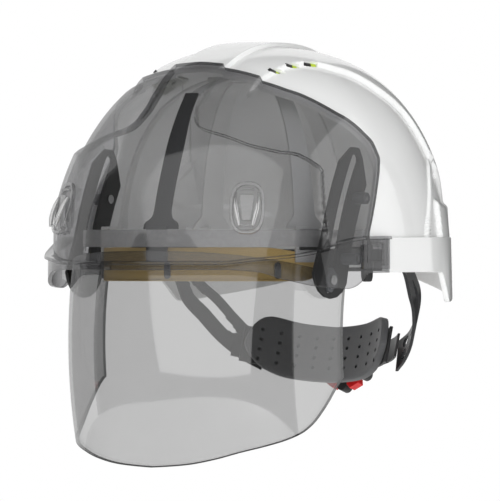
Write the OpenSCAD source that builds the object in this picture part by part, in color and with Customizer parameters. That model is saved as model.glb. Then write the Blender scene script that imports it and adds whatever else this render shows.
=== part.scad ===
// Hard hat with a tinted front cap and a clear face shield that slides up inside it.
// Millimetres. X is across the hat, the front faces -Y, Z is up.
// The origin is the middle of the head opening, level with the lower edge of the headband.

/* [Shell] */
// Half of the shell's width at the rim
half_w = 110; // [106:1:114]
// Reach of the dome in front of its middle
front_l = 121; // [117:1:125]
// Reach of the dome behind its middle
rear_l = 112; // [108:1:116]
// Height of the dome's side surface
dome_h = 141.5; // [138:0.5:145]
// Wall of the white shell
shell_t = 2.6; // [2:0.2:3]
// Wall of the tinted cap
cap_t = 2.2; // [1.8:0.2:2.4]

/* [Face shield] */
// Half of the shield's width
shield_w = 91.3; // [90.5:0.1:91.5]
// Lowest point of the shield at the front
shield_low = -114; // [-118:1:-100]
// Wall of the shield
shield_t = 2; // [1.6:0.2:2.2]

/* [Headband] */
// Height of the sweatband at the brow
brow_h = 20; // [16:1:22]
// Radius of the ratchet knob
knob_r = 19; // [16:1:20]

/* [Hidden] */
$fn = 48;

mid_y = 5;            // where the dome is widest
plan_n = 2.5;         // squareness of the rim seen from above
rear_m = 2.4;         // squareness of the rear profile
band_top = 26.5;      // top of the gutter band
band_low = 4.9;       // its lower edge
run = 0.05;           // running clearance on a radius

slide_y = 169;        // the arc that the shield slides along has its centre here
slide_z = -37;
shield_back = -30.8;  // rear edges of the shield
shield_depth = 83;    // from those to its front
shield_top = 11.2;    // angle of its top edge on the arc
slot_r = 221;         // radius of the guide slot
slider_at = 9.7;      // angle of the slider on the arc when the shield is down

nape = [0, 90, -47];  // middle of the nape pad's back
nape_tilt = 17;       // its lower edge leans forward by this much
nape_r = 76;          // curve of the nape pad's back
rack_r = [81.2, 83.2]; // inner radii of the left and right racks
rack_t = 1.4;
pitch_r = 4;          // pinion
teeth = 8;
tooth_pitch = 2 * PI * pitch_r / teeth;

function soft(lo, hi, t) = let (k = min(1, max(0, (t - lo) / (hi - lo)))) k * k * (3 - 2 * k);
function spow(t, e) = sign(t) * pow(abs(t), e);

// Point of the dome grown by o: w runs from the left temple to the right,
// v from the front rim over the crown to the rear
function dome(w, v, o) =
    let (c = pow(cos(w), 2 / plan_n), m = v < 90 ? 2 : rear_m, a = (v < 90 ? front_l : rear_l) + o)
    [(half_w + o) * spow(sin(w), 2 / plan_n), mid_y - c * a * spow(cos(v), 2 / m),
     c * (dome_h + o) * pow(abs(sin(v)), 2 / m)];

// Point of the rim's outline grown by o, at angle p from the front
function plan(p, o) =
    [(half_w + o) * spow(sin(p), 2 / plan_n),
     mid_y - ((abs(p) < 90 ? front_l : rear_l) + o) * spow(cos(p), 2 / plan_n)];

// Half of the width over the two side ridges
function ridge_x(v) =
    lookup(v, [[0, 43], [62, 44], [69, 45.5], [76, 48.5], [82, 52.5], [90, 61], [102, 75], [114, 82],
               [124, 88], [132, 91], [180, 94]]);
// Height of the centre strip and of the panel beside it over the side surface
function strip(x) = 2.7 * (1 - soft(16.4, 18.6, abs(x)));
function panel(x, v) = 2.8 * (1 - soft(ridge_x(v) - 3, ridge_x(v) + 1, abs(x)));
function shell_lift(x, v) =
    let (on = soft(50, 60, v), off = 1 - soft(140, 165, v)) off * on * (strip(x) + panel(x, v));

// Rear edge of the cap, as an angle over the crown at each distance from the middle
function cap_edge(x) =
    lookup(abs(x), [[0, 63.5], [43, 63.1], [54, 64.5], [66, 68.4], [74, 74], [80, 79.5], [89, 85], [97, 84.5],
                    [101, 79], [104.5, 69.5], [107, 54], [108.5, 38], [110, 24]]);
// The cap's face stands forward of its upper side panels below this line
function face_line(x) =
    lookup(abs(x), [[0, 90], [16.5, 90], [19, 48], [30, 43], [50, 39.5], [66, 37], [80, 35.5], [88, 36]]);
function face_lift(x, v) =
    let (z = dome_h * sin(v)) lookup(z, [[18, 0], [50, 2.8], [66, 3.6], [90, 3.6], [125, 5.5]])
        * (1 - soft(face_line(x), face_line(x) + 1.6, v)) * (1 - soft(91, 95, abs(x)));
function cap_lift(x, v) =
    shell_t + max(face_lift(x, v), soft(44, 56, v) * (strip(x) + panel(x, v) * soft(52, 60, v)));

// Closed solid between two grids of points
module sheet(outer, inner) {
    r = len(outer);
    c = len(outer[0]);
    n = r * c;
    function quad(a, b, d, e) = [[a, b, d], [a, d, e]];
    polyhedron(
        points = [for (g = [outer, inner], row = g) each row],
        faces = [
            for (i = [0:r - 2], j = [0:c - 2]) let (k = i * c + j) each quad(k, k + 1, k + c + 1, k + c),
            for (i = [0:r - 2], j = [0:c - 2])
                let (k = n + i * c + j) each quad(k, k + c, k + c + 1, k + 1),
            for (j = [0:c - 2]) each quad(j, n + j, n + j + 1, j + 1),
            for (j = [0:c - 2]) let (k = (r - 1) * c + j) each quad(k + 1, n + k + 1, n + k, k),
            for (i = [0:r - 2]) each quad((i + 1) * c, n + (i + 1) * c, n + i * c, i * c),
            for (i = [0:r - 2]) let (k = i * c + c - 1) each quad(k, n + k, n + k + c, k + c)
        ]
    );
}

// Wall that stands on the rim's outline from one angle to another, with its own top and lower edge
module rim_wall(from, to, steps, low, top, out_low, out_top, thick) {
    a = [for (k = [0:steps]) from + (to - from) * k / steps];
    function at(p, f, d) =
        let (o = out_low(p) + (out_top(p) - out_low(p)) * f + d, q = plan(p, o))
        [q.x, q.y, low(p) + (top(p) - low(p)) * f];
    function side(d) = [for (p = a) [for (f = [0, 0.5, 1]) at(p, f, d)]];
    sheet(side(0), side(-thick));
}

// Makes one closed mesh of walls that run into each other
module fuse() resize([0, 0, 0]) union() children();

module both_sides() for (s = [0, 1]) mirror([s, 0, 0]) children();

// Keeps what is over a height
module above(z) intersection() {
    children();
    translate([-150, -150, z]) cube([300, 300, 200]);
}

// Points across the dome, closer together where the strip and the ridges step
across = [0, 8, 16.4, 18.6, 26, 34, 42, 46, 50, 55, 60, 66, 72, 78, 84, 90, 95, 99.5, 103.5, 106.3,
          108.2, 109.2];
function dome_at(x) = asin(pow(x / half_w, plan_n / 2));
dome_w = [for (x = across) dome_at(x)];
all_w = [for (k = [len(dome_w) - 1:-1:1]) -dome_w[k], each dome_w];

function dome_x(w) = half_w * spow(sin(w), 2 / plan_n);

module dome_sheet(v0, v1, steps, lift, thick) {
    function row(w, o) = [for (k = [0:steps])
        let (x = dome_x(w), v = v0(x) + (v1(x) - v0(x)) * k / steps) dome(w, v, lift(x, v) + o)];
    sheet([for (w = all_w) row(w, 0)], [for (w = all_w) row(w, -thick)]);
}

vent_at = [69.3, 75.8, 82.2]; // angles of the vent slots over the crown
vent = [4.2, 11, 16];         // one slot
vent_lean = 33;               // slope of the ridge that the slots are in

// Places its children at each vent slot of the left side, out from the dome by o
module at_vents(o) {
    for (v = vent_at)
        translate(dome(dome_at(ridge_x(v) + 0.5), v, o))
            rotate([v - 90, 0, 0]) rotate([0, vent_lean, 0]) children();
}

module main_shell() {
    skirt = [[0, band_low], [106, band_low], [111, -4], [116.5, -13.6], [129.7, -10.5], [148, -5],
             [160, 0], [168, band_low], [180, band_low]];
    color("white") fuse() difference() {
        union() {
            above(band_top - 2)
                dome_sheet(function (x) cap_edge(x) - 4, function (x) 180, 22,
                           function (x, v) shell_lift(x, v), shell_t);
            rim_wall(84.8, 275.2, 56, function (p) lookup(p > 180 ? 360 - p : p, skirt), function (p) band_top,
                     function (p) 3.4, function (p) 2.4, 3.2);
        }
        both_sides() at_vents(3) cube(vent, center = true);
    }
}

module vent_inserts() {
    color("yellowgreen") both_sides() at_vents(-7.9) difference() {
        cube([7.5, 14, 1.6], center = true);
        translate([0, -1.6, 0]) cube([3.4, 7.6, 4], center = true);
    }
}

cap_end = 84.2;       // angles at which the cap's wall and its lip end
lip_end = 83.3;
// Heights of the cap's lip and of its lower edge, at angles from the front
lip = [[0, 11], [25, 11], [36, 13], [48, 14.8], [58, 17.6], [64, 20.6], [69, 24], [75, 26], [90, 26.5]];
cap_low = [[0, 6.2], [25, 6.5], [36, 5.5], [48, 0], [61, -4.3], [69, -5], [71.5, -4], [74.7, 0], [77, 4.6],
           [90, band_low]];

module front_cap() {
    color("dimgray", 0.6) fuse() {
        above(9.5)
            dome_sheet(function (x) 1, function (x) cap_edge(x), 16, function (x, v) cap_lift(x, v), cap_t);
        rim_wall(-cap_end, cap_end, 56, function (p) lookup(abs(p), cap_low), function (p) lookup(abs(p), lip),
                 function (p) 5.8, function (p) 5.8, cap_t);
        rim_wall(-lip_end, lip_end, 54, function (p) lookup(abs(p), lip) - 1.2,
                 function (p) lookup(abs(p), lip) + 0.6, function (p) 8, function (p) 7.4, 6.6);
        both_sides()
            rim_wall(74.2, 83.7, 4, function (p) 7, function (p) 25, function (p) 7.2, function (p) 7.2, 2.2);
    }
}

module lamp_clip() {
    difference() {
        union() {
            hull() for (z = [-10, 10])
                translate([0, 0, z]) rotate([90, 0, 0]) cylinder(h = 1.4, r = 8, center = true);
            for (x = [-5, 5]) translate([x, -2.6, -3]) cube([2, 5, 18], center = true);
            translate([0, -2.6, -12]) cube([12, 5, 2], center = true);
            translate([0, -4.4, -4]) cube([12, 1.4, 18], center = true);
        }
        translate([0, 0, 12]) cube([6, 6, 2.4], center = true);
        translate([0, -4.4, 0]) cube([5, 4, 14], center = true);
    }
}

module lamp_clips() {
    color("gainsboro", 0.6) both_sides()
        translate(dome(dome_at(66), 18.9, 8.2)) rotate([0, 0, 30]) rotate([-16, 0, 0]) lamp_clip();
}

// Locks the end of the cap to the shell's gutter band
module cap_clip() {
    color("black") translate([102.6, -24, 10.6]) difference() {
        cube([5, 12, 22.8], center = true);
        translate([0, 0, 3]) cube([2.2, 7, 22.8], center = true);
    }
}

// Y and Z of a point on the slide arc: a is the angle up the arc, r the radius
function arc_yz(a, r) = [slide_y - r * cos(a), slide_z + r * sin(a)];

// Direction at angle a on the arc: t is 0 away from the centre and 90 up the arc
function arc_dir(a, t) = [-cos(a) * cos(t) + sin(a) * sin(t), sin(a) * cos(t) + cos(a) * sin(t)];

// Places children on the slide arc, at x across, with their axis along X
module on_arc(x, a, r) {
    q = arc_yz(a, r);
    translate([x, q.x, q.y]) rotate([-a, 0, 0]) rotate([0, 90, 0]) children();
}

// Outline in the YZ plane of a slot along the arc, between the centres of its round ends
function arc_slot(a0, a1, r, half) = concat(
    [for (a = [a0:(a1 - a0) / 12:a1 + 0.001]) arc_yz(a, r + half)],
    [for (t = [15:15:165]) arc_yz(a1, r) + half * arc_dir(a1, t)],
    [for (a = [a1:(a0 - a1) / 12:a0 - 0.001]) arc_yz(a, r - half)],
    [for (t = [195:15:345]) arc_yz(a0, r) + half * arc_dir(a0, t)]);

// Extrudes an outline of the YZ plane along X, from x, by t
module slab(x, t) translate([x, 0, 0]) rotate([90, 0, 90]) linear_extrude(t) children();

plate_x = 92.7;       // inner face of a guide plate
plate_t = 2;
slot_w = 7;
slot_lo = 8.5;        // angles at the ends of the guide slot
slot_hi = 29.95;
// Y and Z of each screw, and how far the cap stands off the plate there
plate_screws = [[-34.5, 13, 11.2], [-22, 50, 8.4]];
screw_r = 1.5;
hole_r = 1.6;         // clearance hole of a screw

module guide_plate() {
    foot = [for (t = [200:20:340]) arc_yz(11.6, 220.5) + 18.5 * arc_dir(11.6, t)];
    front = [for (a = [16:4:28]) arc_yz(a, 234), arc_yz(31.3, 227.5), arc_yz(32.2, 221)];
    back = [arc_yz(31.3, 214.5), for (a = [28:-4:12]) arc_yz(a, 203)];
    color("black") difference() {
        slab(plate_x, plate_t) polygon(concat(foot, front, back));
        slab(plate_x - 1, plate_t + 2) polygon(arc_slot(slot_lo, slot_hi, slot_r, slot_w / 2));
        for (p = plate_screws)
            translate([plate_x - 1, p.x, p.y]) rotate([0, 90, 0]) cylinder(h = plate_t + 2, r = hole_r);
    }
}

module guide_spacers() {
    color("lightgray", 0.6) for (s = [-1, 1], p = plate_screws)
        let (x = s > 0 ? plate_x + plate_t : -plate_x - plate_t - p.z)
            translate([x, p.x, p.y]) rotate([0, 90, 0]) difference() {
                cylinder(h = p.z, r = 3.6);
                translate([0, 0, -1]) cylinder(h = p.z + 2, r = hole_r);
            }
}

module guide_screws() {
    color("silver") both_sides() for (p = plate_screws)
        translate([plate_x - 1.3, p.x, p.y]) rotate([0, 90, 0]) {
            cylinder(h = 1.25, r = 2.8);
            cylinder(h = 3.2 + p.z, r = screw_r);
        }
}

bar_w = 85.5;         // half of the brow bar's width
bar_d = 70;           // its reach in front of the shield's rear edges
bar_z = 20.4;         // its lower edge
bar_h = 10.5;
bar_t = 1.8;

// Bar that holds the shield clear of the harness, with a foot to the shell on each side
module brow_bar() {
    a = [for (k = [-26:26]) 90 * k / 26];
    function at(p, o, z) = [(bar_w + o) * spow(sin(p), 0.8), shield_back - (bar_d + o) * pow(cos(p), 0.8), z];
    function side(o) = [for (p = a) [at(p, o, bar_z), at(p, o, bar_z + bar_h)]];
    color("white", 0.6) fuse() {
        sheet(side(0), side(-bar_t));
        both_sides() {
            translate([bar_w - bar_t, shield_back - 0.5, bar_z]) cube([bar_t, 22, bar_h]);
            translate([bar_w - bar_t, -12, bar_z]) cube([21, 2.4, bar_h]);
        }
    }
}

// Height of the shield's lower edge, at angles from the front
shield_edge = [[0, shield_low], [24, -112], [36, -107.5], [48, -103.5], [58, -100], [66, -97], [70, -94.5],
               [74, -91], [79, -84.5], [83, -78], [86, -71.5], [90, -61]];

module face_shield() {
    half = [for (p = [5:5:60]) p, for (q = [0.5:-0.1:0]) acos(pow(q, 1.25))];
    p_all = [for (k = [len(half) - 1:-1:0]) -half[k], 0, each half];
    rows = 9;
    function at(p, f, o) =
        let (r = slide_y - shield_back + (shield_depth + o) * pow(cos(p), 0.8),
             low = asin((lookup(abs(p), shield_edge) - slide_z) / r),
             q = arc_yz(low + (shield_top - low) * f, r))
        [(shield_w + o) * spow(sin(p), 0.8), q.x, q.y];
    function side(o) = [for (p = p_all) [for (f = [0:rows]) at(p, f / rows, o)]];
    color("lightgray", 0.4) sheet(side(0), side(-shield_t));
}

rivet_r = 1.45;

// Shoe that runs in the guide slot, with its flange outside the plate
module shield_slider() {
    color("gray") difference() {
        union() {
            slab(shield_w + 0.1, 4.4)
                polygon(arc_slot(slider_at - 1.1, slider_at + 1.1, slot_r, slot_w / 2 - 0.15));
            on_arc(shield_w + 3.9, slider_at, slot_r) cylinder(h = 1.6, r = 5.6);
        }
        on_arc(shield_w - 1, slider_at, slot_r) cylinder(h = 12, r = rivet_r + run);
    }
}

module slider_rivets() {
    color("silver") both_sides() {
        on_arc(shield_w + 5.6, slider_at, slot_r) cylinder(h = 1, r = 3);
        on_arc(shield_w + 0.15, slider_at, slot_r) cylinder(h = 5.5, r = rivet_r);
    }
}

cradle_a = 91;        // half of the cradle's length
cradle_b = 80;        // half of its width
cradle_h = 126;       // its height
cradle_top = 77;      // angle at which an arm runs into the ring under the crown
arm_angles = [0, 62, 122, 180, 238, 298];
foot_t = 9.6;         // angle of the arms' feet over the rim

// Point of the cradle's surface, p round from the front and t up from the rim
function cradle_pt(p, t, o) =
    let (c = pow(cos(t), 2 / 2.6), s = pow(sin(t), 2 / 2.6))
    [(cradle_b + o) * c * sin(p), 2 - (cradle_a + o) * c * cos(p), (cradle_h + o) * s];

module cradle_arm(p, low) {
    t = [for (k = [0:14]) low + (cradle_top - low) * k / 14];
    function half(a) = 7.4 - 3 * (a - low) / (cradle_top - low);
    function rim(a, o) =
        let (m = cradle_pt(p, a, o), q = cradle_pt(p + 1, a, o) - cradle_pt(p - 1, a, o), u = q / norm(q))
        [for (e = [-1, 0, 1]) m + u * e * half(a)];
    sheet([for (a = t) rim(a, -1.8)], [for (a = t) rim(a, 0)]);
}

// Inner suspension: six tapered arms from a ring under the crown
module cradle() {
    color("dimgray") fuse() {
        for (p = arm_angles) cradle_arm(p, foot_t);
        for (p = arm_angles)
            translate(cradle_pt(p, foot_t, -0.9)) rotate([0, 0, p]) cube([26, 2.4, 3.4], center = true);
        for (p = [62, 122, 238, 298]) {
            a = cradle_pt(p, foot_t, -1);
            b = head_pt(p, 6);
            head_wall(p - 5, p + 5, 4, function (p) 11, function (p) 33, 6.2, 1.6);
            translate([a.x, a.y, 31.6]) rotate([0, 0, atan2(b.y - a.y, b.x - a.x)]) translate([0, -6, 0])
                cube([norm([b.x - a.x, b.y - a.y]), 12, 1.4]);
        }
        translate([-8, -98.5, 11]) cube([16, 1.6, 22]);
        translate([-8, -98.5, 31.6]) cube([16, 11, 1.4]);
        translate([0, 2, cradle_h - 3.4]) difference() {
            scale([1, 1.08, 1]) cylinder(h = 2.4, r = 27);
            translate([0, 0, -1]) scale([1, 1.08, 1]) cylinder(h = 5, r = 14);
        }
    }
}

// Egg-shaped outline of the headband
function head_pt(p, o) = [(82 + o) * sin(p), -4 - (88.5 + o) * cos(p)];

// Wall that stands on that outline from one angle to another
module head_wall(from, to, steps, low, top, o, thick) {
    a = [for (k = [0:steps]) from + (to - from) * k / steps];
    function at(p, f, d) = let (q = head_pt(p, o + d)) [q.x, q.y, low(p) + (top(p) - low(p)) * f];
    function side(d) = [for (p = a) [for (f = [0, 0.5, 1]) at(p, f, d)]];
    sheet(side(0), side(-thick));
}

module headband() {
    lug = [[0, 29], [11, 29], [14, 27], [18, 19], [140, 19]];
    color("dimgray") fuse()
        head_wall(-112, 112, 56, function (p) 1, function (p) lookup(abs(p), lug), 2.2, 1.8);
}

// Lower and upper edge of a headband arm, from the temple down to the nape
arm_low = [[85.5, 20, 0], [88.5, 36, -1.5], [87.5, 50, -13], [82, 58, -26], [74, 67, -39], [63, 75.5, -50],
           [52, 82.5, -57]];
arm_top = [[84, 30, 18], [84, 50, 12], [81, 66, 0], [76, 73, -11], [69, 80, -22], [60, 85.5, -32],
           [49, 90, -38]];

// Point on a smooth curve through a list of points
function along(q, t) =
    let (n = len(q) - 1, k = min(n - 1, floor(t * n)), f = t * n - k,
         a = q[max(0, k - 1)], b = q[k], c = q[k + 1], d = q[min(n, k + 2)])
    0.5 * (2 * b + (c - a) * f + (2 * a - 5 * b + 4 * c - d) * f * f + (3 * b - a - 3 * c + d) * f * f * f);

// Arm from the headband's side down to the nape, with a long slot
module headband_arm() {
    t = [for (k = [0:18]) k / 18];
    function at(k, f, o) =
        let (l = along(arm_low, k), u = along(arm_top, k), m = l + (u - l) * f, out = [m.x, m.y * 0.9, 0])
        m + out / norm(out) * o;
    function side(o) = [for (k = t) [for (f = [0, 0.35, 0.65, 1]) at(k, f, o)]];
    color("dimgray") fuse() difference() {
        sheet(side(1), side(-1));
        for (k = [0.3:0.06:0.62]) {
            m = at(k, 0.45, 0);
            translate(m) rotate([0, 0, atan2(m.y * 0.9, m.x)]) rotate([-52, 0, 0])
                cube([12, 7.6, 5], center = true);
        }
    }
}

module sweatband() {
    low = -0.6;
    top = [[0, brow_h + 0.6], [44, brow_h + 0.6], [58, brow_h - 2], [70, 12]];
    color("tan") fuse() {
        head_wall(-69, 69, 40, function (p) low, function (p) lookup(abs(p), top), 0.2, 3.6);
        head_wall(-69, 69, 40, function (p) low, function (p) low + 1.4, 4.2, 6);
        head_wall(-69, 69, 40, function (p) low, function (p) lookup(abs(p), top) - 0.4, 4.2, 1.6);
    }
}

module sweatband_studs() {
    color("slategray") for (p = [-50, 5, 50]) {
        q = head_pt(p, 4.9);
        translate([q.x, q.y, 6]) rotate([0, 0, p])
            hull() for (z = [-3, 3])
                translate([0, 0, z]) rotate([90, 0, 0]) cylinder(h = 1.2, r = 2, center = true);
    }
}

// Key that runs out from a cradle foot, at angle p and for a reach, with a tooth at its end
module harness_key(p, from, reach) {
    translate([from.x, from.y, 27.5]) rotate([0, 0, p - 90]) {
        translate([0, -6, 0]) cube([reach, 12, 2.2]);
        translate([reach - 2.2, -6, -9]) cube([2.2, 12, 12.6]);
    }
}

module harness_keys() {
    color("black") {
        both_sides() {
            harness_key(62, head_pt(62, 6.6), 2.2);
            harness_key(122, head_pt(122, 6.6), 24);
        }
        harness_key(180, cradle_pt(180, foot_t, 1.5), 16);
    }
}

// The nape assembly is drawn about the middle of the nape pad's back, with Y outward
module at_nape() translate(nape) rotate([-nape_tilt, 0, 0]) children();

// Part of a tube about the centre of the nape pad's curve, between two radii, angles and heights
module nape_arc(r0, r1, a0, a1, z0, z1) translate([0, -nape_r, z0]) intersection() {
    difference() {
        cylinder(h = z1 - z0, r = r1, $fn = 120);
        translate([0, 0, -1]) cylinder(h = z1 - z0 + 2, r = r0, $fn = 120);
    }
    translate([0, 0, -1]) linear_extrude(z1 - z0 + 2)
        polygon([[0, 0], for (k = [0:4]) let (a = a0 + (a1 - a0) * k / 4) 160 * [sin(a), cos(a)]]);
}

module nape_pad() {
    a = [for (k = [-20:20]) 46 * k / 20];
    function low(p) = lookup(abs(p), [[0, -18.5], [22, -17.5], [36, -13], [43, -6], [46, 1]]);
    function top(p) = lookup(abs(p), [[0, 19], [20, 20.5], [34, 23], [41, 21], [44, 16], [46, 7]]);
    function side(r) = [for (p = a) [for (f = [0:0.25:1])
        [r * sin(p), -nape_r + r * cos(p), low(p) + (top(p) - low(p)) * f]]];
    color("dimgray") at_nape() sheet(side(nape_r - 4.6), side(nape_r - 0.1));
}

module nape_band() {
    color("black") at_nape() difference() {
        nape_arc(nape_r + 0.1, nape_r + 1.9, -47, 47, -11, 12);
        both_sides() for (a = [27, 36]) nape_arc(nape_r - 1, nape_r + 3, a, a + 5, -6, 7);
        rotate([-90, 0, 0]) cylinder(h = 30, r = 2.4, center = true);
    }
}

// Oval plate of the ratchet between two radii, with a bearing hole
module ratchet_plate(r0, r1, bore) {
    color("black") at_nape() difference() {
        intersection() {
            nape_arc(r0, r1, -23, 23, -10.5, 10.5);
            rotate([-90, 0, 0]) scale([1, 0.42, 1]) cylinder(h = 40, r = 31, center = true);
        }
        rotate([-90, 0, 0]) cylinder(h = 40, r = bore, center = true);
    }
}

shaft_r = [2.2, 3];   // radii of the pinion's two bearings

module ratchet_housing() ratchet_plate(nape_r + 2.2, nape_r + 4.2, shaft_r[0] + run);
module ratchet_cover() ratchet_plate(nape_r + 8.9, nape_r + 10.6, shaft_r[1] + run);

// Toothed strap: side is 1 for the left one, whose teeth are over the pinion
module rack(side, r0) {
    slot_a = 24.5 / (r0 + rack_t / 2) * 180 / PI;
    step_a = tooth_pitch / (r0 + rack_t / 2) * 180 / PI;
    tooth = [[-0.5, -5.2], [0.5, -5.2], [0.3, -3.6], [-0.3, -3.6]];
    color("black") at_nape() mirror([side > 0 ? 0 : 1, 0, 0]) {
        difference() {
            nape_arc(r0, r0 + rack_t, -slot_a - 2, 50, -7.4, 7.4);
            nape_arc(r0 - 1, r0 + rack_t + 1, -slot_a, slot_a, -5, 5);
        }
        for (k = [-6.5:6.5]) if (abs(k * step_a) < slot_a - 0.5)
            translate([0, -nape_r, 0]) rotate([0, 0, -k * step_a]) translate([0, r0, 0])
                rotate([-90, 0, 0]) linear_extrude(rack_t) polygon([for (q = tooth) [q.x, q.y * side]]);
    }
}

module pinion() {
    color("gray") at_nape() translate([0, 4.9, 0]) rotate([-90, 0, 0]) difference() {
        union() {
            cylinder(h = 3.8, r = 2.9);
            for (k = [0:teeth - 1])
                rotate([0, 0, 360 * k / teeth]) translate([2.4, -0.45, 0]) cube([2.05, 0.9, 3.8]);
            translate([0, 0, -4.4]) cylinder(h = 5, r = shaft_r[0]);
            cylinder(h = 7.8, r = shaft_r[1]);
        }
        translate([0, 0, 0.6]) cylinder(h = 10, r = 1.25);
    }
}

knob_y = 11.4;        // inner face of the knob

// Places children on the knob's inner face, with their axis outward
module at_knob() at_nape() translate([0, knob_y, 0]) rotate([-90, 0, 0]) children();

// Places children at each of the knob's six grips
module at_grips(z) for (k = [0:5]) rotate([0, 0, 60 * k + 30]) translate([knob_r - 3.2, 0, z]) children();

module ratchet_knob() {
    color("firebrick") at_knob() difference() {
        union() {
            cylinder(h = 8, r = knob_r - 5);
            for (k = [0:5]) rotate([0, 0, 60 * k]) linear_extrude(6)
                polygon([[6, -7], [knob_r, -3.4], [knob_r, 3.4], [6, 7]]);
        }
        translate([0, 0, -1]) cylinder(h = 2.4, r = shaft_r[1] + run);
        translate([0, 0, -1]) cylinder(h = 12, r = hole_r);
        translate([0, 0, 5.6]) cylinder(h = 4, r = 3.6);
        at_grips(-1) cylinder(h = 12, r = 3.9);
    }
}

module knob_grips() {
    color("black") at_knob() at_grips(0.3) cylinder(h = 7.2, r = 3.7);
}

module knob_screw() {
    color("silver") at_knob() {
        translate([0, 0, 5.7]) cylinder(h = 1.8, r = 3);
        translate([0, 0, -5]) cylinder(h = 11, r = 1.2);
    }
}

main_shell();
vent_inserts();
front_cap();
lamp_clips();
cap_clip();  // cap_clip_left
mirror([1, 0, 0]) cap_clip();  // cap_clip_right
guide_plate();  // guide_plate_left
mirror([1, 0, 0]) guide_plate();  // guide_plate_right
guide_spacers();
guide_screws();
brow_bar();
face_shield();
shield_slider();  // shield_slider_left
mirror([1, 0, 0]) shield_slider();  // shield_slider_right
slider_rivets();
cradle();
harness_keys();
headband();
headband_arm();  // headband_arm_left
mirror([1, 0, 0]) headband_arm();  // headband_arm_right
sweatband();
sweatband_studs();
nape_pad();
nape_band();
ratchet_housing();
ratchet_cover();
rack(1, rack_r[0]);  // rack_left
rack(-1, rack_r[1]);  // rack_right
pinion();
ratchet_knob();
knob_grips();
knob_screw();
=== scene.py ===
"""Looks of a hard hat with a smoked front cap and a sliding face shield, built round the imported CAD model.

Shapes are worked out in millimetres and degrees in the CAD frame: X across, the front faces -Y, Z up.
"""

import math

import bmesh
import bpy
import numpy as np
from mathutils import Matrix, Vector

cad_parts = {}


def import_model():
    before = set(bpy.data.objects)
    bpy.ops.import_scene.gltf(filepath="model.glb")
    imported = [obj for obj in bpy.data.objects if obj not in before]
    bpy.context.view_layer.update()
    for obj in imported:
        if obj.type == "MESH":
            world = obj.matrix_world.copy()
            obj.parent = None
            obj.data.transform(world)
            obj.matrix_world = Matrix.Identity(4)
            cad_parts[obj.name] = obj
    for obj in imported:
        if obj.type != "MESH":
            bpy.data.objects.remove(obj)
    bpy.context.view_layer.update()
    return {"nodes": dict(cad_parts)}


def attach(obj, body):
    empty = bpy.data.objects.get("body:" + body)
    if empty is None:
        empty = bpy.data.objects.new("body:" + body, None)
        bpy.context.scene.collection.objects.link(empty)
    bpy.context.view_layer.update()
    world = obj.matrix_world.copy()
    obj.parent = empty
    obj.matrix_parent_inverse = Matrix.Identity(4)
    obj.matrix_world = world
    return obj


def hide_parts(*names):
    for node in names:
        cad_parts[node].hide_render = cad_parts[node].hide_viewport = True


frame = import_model()
MM = 0.001

# ---- driving sizes, as the CAD holds them ----
HALF_W, FRONT_L, REAR_L, DOME_H = 110.0, 121.0, 112.0, 141.5
SHELL_T, CAP_T = 2.6, 2.2
MID_Y, PLAN_N, REAR_M = 5.0, 2.5, 2.4
BAND_TOP, BAND_START = 26.5, 84.8
CAP_END = 84.2
SLIDE_Y, SLIDE_Z = 169.0, -37.0
SHIELD_W, SHIELD_BACK, SHIELD_DEPTH, SHIELD_T = 91.3, -30.8, 83.0, 2.0
SHIELD_TOP, SHIELD_POWER = 11.2, 0.8
HEAD_W, HEAD_L, HEAD_Y = 82.0, 88.5, -4.0
CRADLE_W, CRADLE_L, CRADLE_H = 80.0, 91.0, 126.0
CRADLE_Y, CRADLE_FOOT, CRADLE_TOP = 2.0, 9.6, 77.0
NAPE = np.array([0.0, 90.0, -47.0])
NAPE_TILT, NAPE_R = 17.0, 76.0
# The wearer's sides, with the sign of X on each.
SIDES = (("left", 1), ("right", -1))


# ---- numbers ----
PER_DEGREE = math.pi / 180


def sin(a):
    return np.sin(np.radians(a))


def cos(a):
    return np.cos(np.radians(a))


def spow(t, e):
    """Power that keeps the sign of t."""
    return np.sign(t) * np.abs(t) ** e


def soft(lo, hi, t):
    """Smooth step from 0 at lo to 1 at hi."""
    k = np.clip((t - lo) / (hi - lo), 0, 1)
    return k * k * (3 - 2 * k)


def curve(t, table):
    """Smooth curve through a table of [t, value] that doesn't overshoot."""
    x, y = np.array(table, float).T
    step = np.diff(x)
    slope = np.diff(y) / step
    total = slope[1:] + slope[:-1]
    turn = slope[1:] * slope[:-1]
    inner = np.where(turn > 0, 2 * turn / np.where(total == 0, 1, total), 0)
    m = np.concatenate([slope[:1], inner, slope[-1:]])
    t = np.clip(t, x[0], x[-1])
    k = np.clip(np.searchsorted(x, t, side="right") - 1, 0, len(step) - 1)
    f = (t - x[k]) / step[k]
    return ((1 + 2 * f) * (1 - f) ** 2 * y[k] + f * (1 - f) ** 2 * step[k] * m[k]
            + f * f * (3 - 2 * f) * y[k + 1] - f * f * (1 - f) * step[k] * m[k + 1])


def distance(px, py, line):
    """Distance of points from a broken line in a plane."""
    best = np.full(np.shape(px), 1e9)
    for (ax, ay), (bx, by) in zip(line[:-1], line[1:]):
        dx, dy = bx - ax, by - ay
        t = np.clip(((px - ax) * dx + (py - ay) * dy) / (dx * dx + dy * dy), 0, 1)
        best = np.minimum(best, np.hypot(px - ax - t * dx, py - ay - t * dy))
    return best


def stack(*parts):
    """Joins coordinates into points, repeating those that have fewer values."""
    return np.stack(np.broadcast_arrays(*parts), -1)


# ---- the hat's own surfaces ----
def dome(w, v, o):
    """Point of the dome grown by o.

    w is 90 at the wearer's left temple, and v runs from the front rim over the crown.
    """
    m = np.where(v < 90, 2, REAR_M)
    a = np.where(v < 90, FRONT_L, REAR_L) + o
    return stack((HALF_W + o) * spow(sin(w), 2 / PLAN_N), MID_Y - narrowing(w) * a * spow(cos(v), 2 / m),
                 narrowing(w) * (DOME_H + o) * np.abs(sin(v)) ** (2 / m))


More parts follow.
